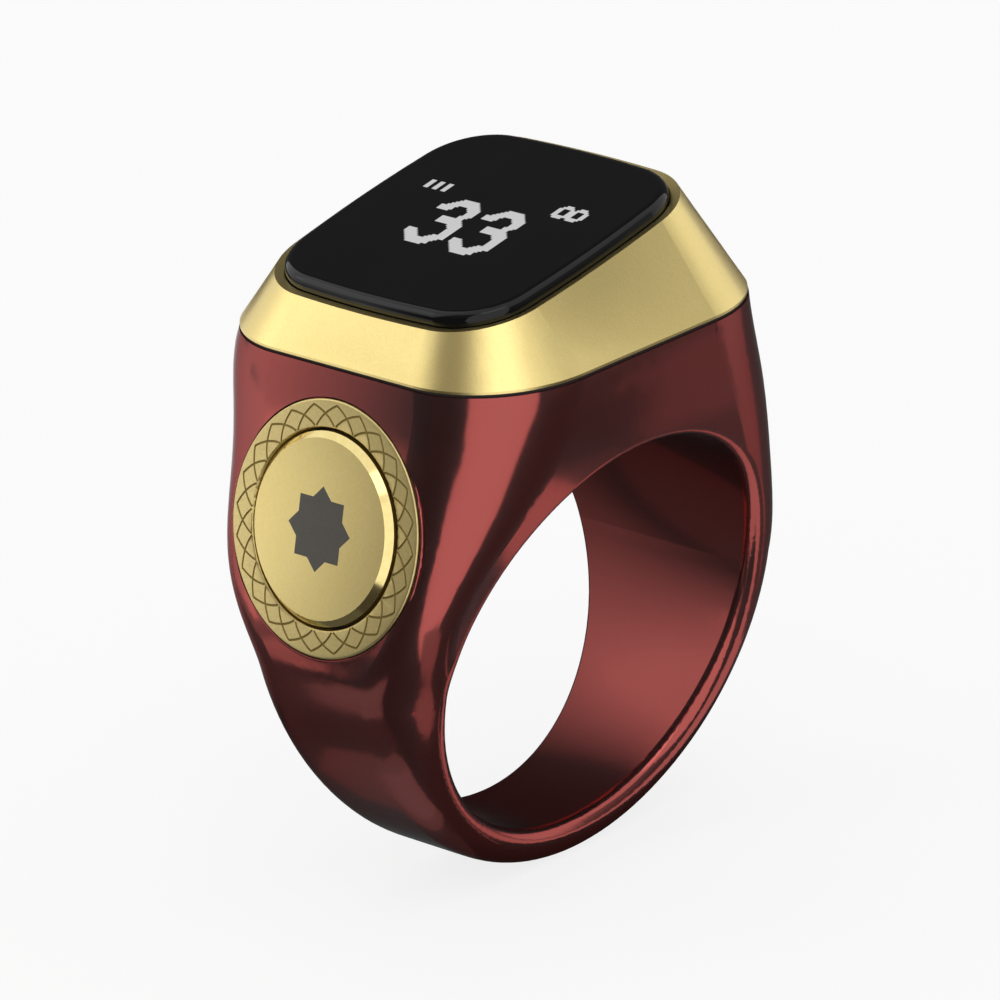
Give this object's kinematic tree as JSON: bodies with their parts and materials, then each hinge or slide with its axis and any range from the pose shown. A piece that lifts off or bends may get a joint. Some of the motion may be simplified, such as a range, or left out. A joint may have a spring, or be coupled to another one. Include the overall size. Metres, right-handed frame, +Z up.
{
  "type": "finger ring tally counter",
  "caption": "Tally counter worn as a finger ring: plated ring body, tilted square glass display in a gold bezel, and a round push button in a trim ring on the sloping side.",
  "frame": {"origin": "centre of the finger bore, on the middle plane of the ring", "axes": "Y along the finger bore with the front opening at -Y, +Z up through the display, push button on -X"},
  "size_m": [0.0265, 0.0202, 0.0324],
  "materials": {
    "body_plating": "high gloss burgundy plating",
    "gold_metal": "satin champagne gold with a fine grain",
    "cover_glass": "polished black",
    "inlay_enamel": "dark satin",
    "seal_rubber": "matt black",
    "bond_tape": "matt black",
    "clear_bond": "clear",
    "display_panel": "dark, lit digits",
    "ribbon_film": "amber film",
    "connector_plastic": "ivory",
    "board_laminate": "green solder mask",
    "chip_resin": "matt black",
    "component_ceramic": "fired tan",
    "antenna_ceramic": "white glaze",
    "steel": "bright",
    "foam_pad": "matt",
    "inner_plastic": "fine matt",
    "cell_foil": "satin foil",
    "contact_gold": "bright",
    "plunger_plastic": "ivory"
  },
  "bodies": {
    "ring": {"ring_body": "body_plating", "display_bezel": "gold_metal", "trim_ring": "gold_metal", "display_glass": "cover_glass", "bezel_gasket": "seal_rubber", "return_ring": "seal_rubber", "glass_adhesive": "bond_tape", "trim_adhesive": "bond_tape", "optical_adhesive": "clear_bond", "oled_panel": "display_panel", "display_ribbon": "ribbon_film", "charge_ribbon": "ribbon_film", "switch_ribbon": "ribbon_film", "display_connector": "connector_plastic", "main_board": "board_laminate", "protection_board": "board_laminate", "controller_chip": "chip_resin", "board_components": "component_ceramic", "chip_antenna": "antenna_ceramic", "crystal": "steel", "board_screws": "steel", "vibration_motor": "steel", "switch_dome": "steel", "battery_tabs": "steel", "motor_pad": "foam_pad", "battery_pad": "foam_pad", "battery_tray": "inner_plastic", "contact_insulators": "inner_plastic", "switch_base": "inner_plastic", "battery_cell": "cell_foil", "battery_pins": "contact_gold", "charge_contacts": "contact_gold"},
    "button": {"button_disc": "gold_metal", "button_inlay": "inlay_enamel", "button_actuator": "inner_plastic"},
    "plunger": {"switch_plunger": "plunger_plastic"}
  },
  "joints": [
    {"name": "button_press", "type": "slide", "parent": "ring", "child": "button", "axis": [0.9659, 0, -0.2588], "range_m": [0, 0.0003], "stiffness_N_per_m": 2000, "deforming": ["return_ring"]},
    {"name": "switch_plunger_press", "type": "slide", "parent": "ring", "child": "plunger", "axis": [0.9659, 0, -0.2588], "range_m": [0, 0.0003], "deforming": ["switch_dome"]}
  ],
  "couplings": [
    {"joint": "switch_plunger_press", "follows": "button_press", "ratio": 1}
  ]
}
